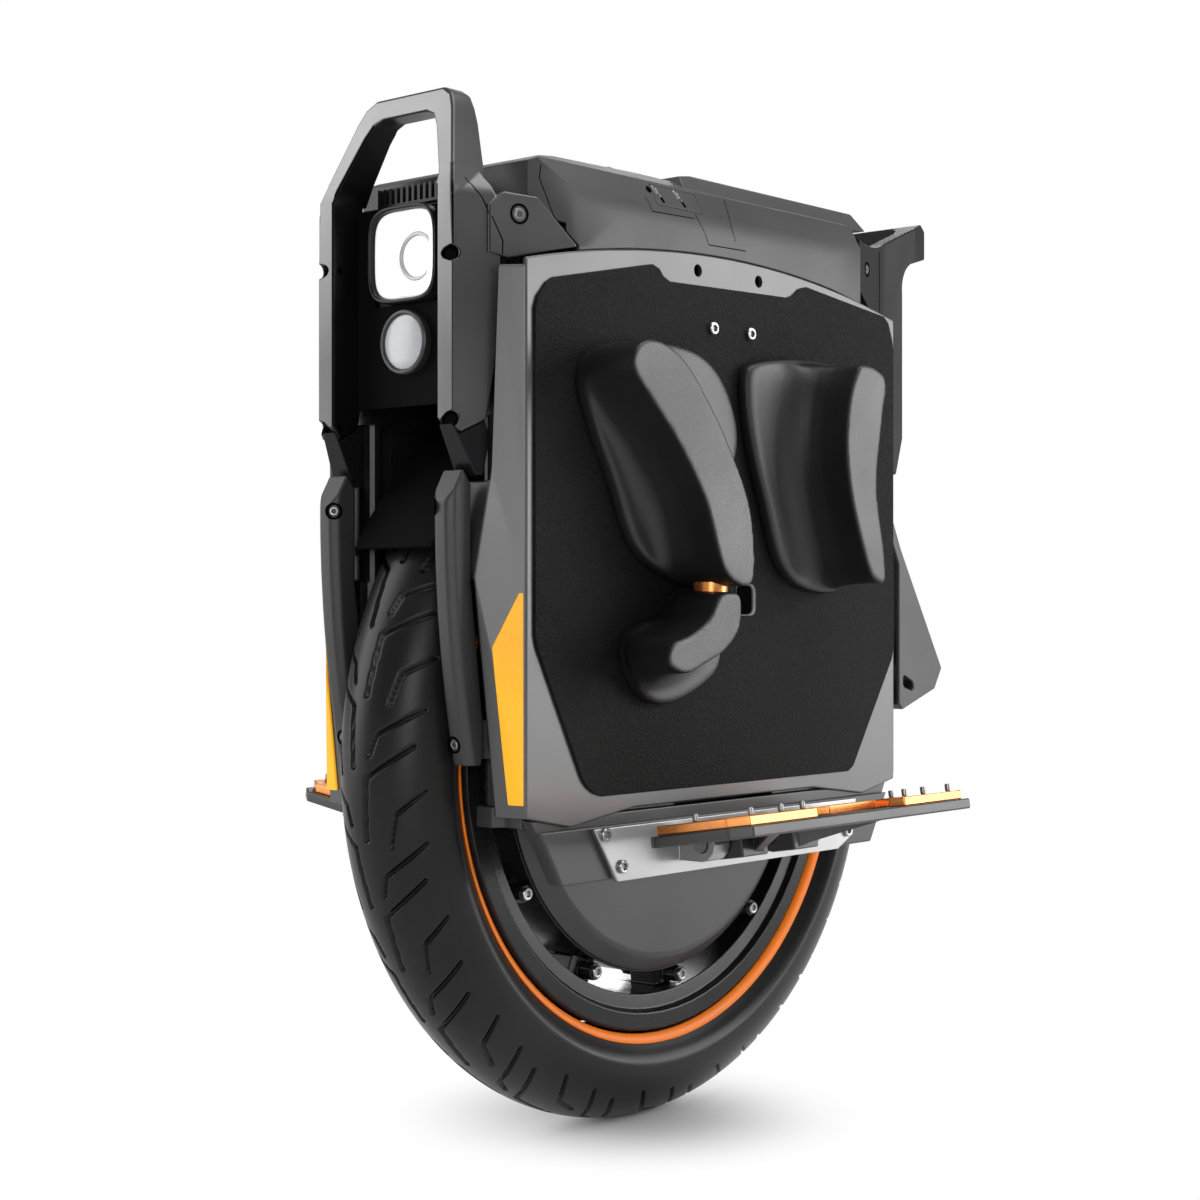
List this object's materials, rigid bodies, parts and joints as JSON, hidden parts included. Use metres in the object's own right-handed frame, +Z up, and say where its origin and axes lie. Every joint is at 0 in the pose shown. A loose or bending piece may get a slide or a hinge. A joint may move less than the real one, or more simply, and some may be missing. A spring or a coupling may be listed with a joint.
{
  "type": "electric unicycle",
  "caption": "Suspended electric unicycle: a motor wheel on a sprung carriage under a narrow armoured body with grab hoops, headlight, leg pads and fold-up pedals",
  "frame": {"origin": "on the ground, under the centre of the wheel", "axes": "+X forwards (headlight), +Y to the rider's left, +Z up; the axle lies along Y"},
  "size_m": [0.569, 0.3972, 0.662],
  "materials": {
    "tyre_rubber": "matte",
    "satin_black_metal": "satin",
    "black_aluminium": "anodised black",
    "grey_panel": "metallic satin",
    "silver_aluminium": "machined",
    "matte_black_plastic": "fine texture",
    "gloss_black_plastic": "gloss",
    "soft_pad": "soft moulded skin",
    "grip_mat": "fine grain",
    "orange_metal": "anodised orange",
    "amber_reflector": "reflex",
    "red_lens": "gloss",
    "clear_lens": "clear",
    "white_lamp": "gloss",
    "steel": "brushed",
    "iron_core": "laminated",
    "cell_wrap": "shrink film"
  },
  "bodies": {
    "chassis": {"guide_rods": "steel", "bump_stops": "soft_pad", "shock_bodies": "black_aluminium", "shock_springs": "steel", "inner_frame": "black_aluminium", "battery_packs": "cell_wrap", "controller_board": "matte_black_plastic", "grip_mats": "grip_mat", "side_reflectors": "amber_reflector", "guard_bars": "matte_black_plastic", "hanger_plates": "silver_aluminium", "pedal_hinge_pins": "steel", "pad_posts": "orange_metal", "left_side_panel": "grey_panel", "right_side_panel": "grey_panel", "left_hanger": "satin_black_metal", "right_hanger": "satin_black_metal", "left_front_pad": "soft_pad", "right_front_pad": "soft_pad", "left_lower_pad": "soft_pad", "right_lower_pad": "soft_pad", "left_rear_pad": "soft_pad", "right_rear_pad": "soft_pad", "front_hoop": "satin_black_metal", "hoop_foot_caps": "gloss_black_plastic", "front_panel": "matte_black_plastic", "headlight_housing": "gloss_black_plastic", "headlight_lens": "clear_lens", "headlight_projector": "white_lamp", "heat_sink": "black_aluminium", "marker_lamp": "white_lamp", "top_cover": "matte_black_plastic", "top_lid": "matte_black_plastic", "rear_hoop": "satin_black_metal", "rear_panel": "matte_black_plastic", "tail_light": "red_lens", "rear_fender": "matte_black_plastic", "body_bolts": "steel"},
    "wheel": {"tyre": "tyre_rubber", "rim": "black_aluminium", "motor_shell": "black_aluminium", "motor_covers": "satin_black_metal", "magnet_ring": "steel", "valve_stem": "steel", "wheel_bolts": "steel"},
    "axle_carriage": {"axle": "steel", "stator": "iron_core", "axle_carriers": "black_aluminium", "mudguard": "matte_black_plastic", "shock_rods": "steel"},
    "left_pedal_body": {"left_pedal": "satin_black_metal", "left_pedal_grip": "orange_metal"},
    "right_pedal_body": {"right_pedal": "satin_black_metal", "right_pedal_grip": "orange_metal"},
    "power_button_body": {"power_button": "gloss_black_plastic"},
    "charge_door_body": {"charge_door": "matte_black_plastic"}
  },
  "joints": [
    {"name": "suspension", "type": "slide", "parent": "chassis", "child": "axle_carriage", "axis": [0, 0, 1], "range_m": [0, 0.06], "stiffness_N_per_m": 12000, "springref_m": -0.05, "deforming": ["shock_springs"]},
    {"name": "wheel_spin", "type": "hinge", "parent": "axle_carriage", "child": "wheel", "pos_m": [0, 0, 0.25], "axis": [0, 1, 0], "continuous": true},
    {"name": "left_pedal_fold", "type": "hinge", "parent": "chassis", "child": "left_pedal_body", "pos_m": [0, 0.11, 0.196], "axis": [1, 0, 0], "range_deg": [0, 75]},
    {"name": "right_pedal_fold", "type": "hinge", "parent": "chassis", "child": "right_pedal_body", "pos_m": [0, -0.11, 0.196], "axis": [-1, 0, 0], "range_deg": [0, 75]},
    {"name": "power_button_press", "type": "slide", "parent": "chassis", "child": "power_button_body", "axis": [0, 0, -1], "range_m": [0, 0.0015], "stiffness_N_per_m": 500, "springref_m": -0.003},
    {"name": "charge_door_hinge", "type": "hinge", "parent": "chassis", "child": "charge_door_body", "pos_m": [0.046, 0.08335, 0.60324], "axis": [-1, 0, 0], "range_deg": [0, 110]}
  ]
}
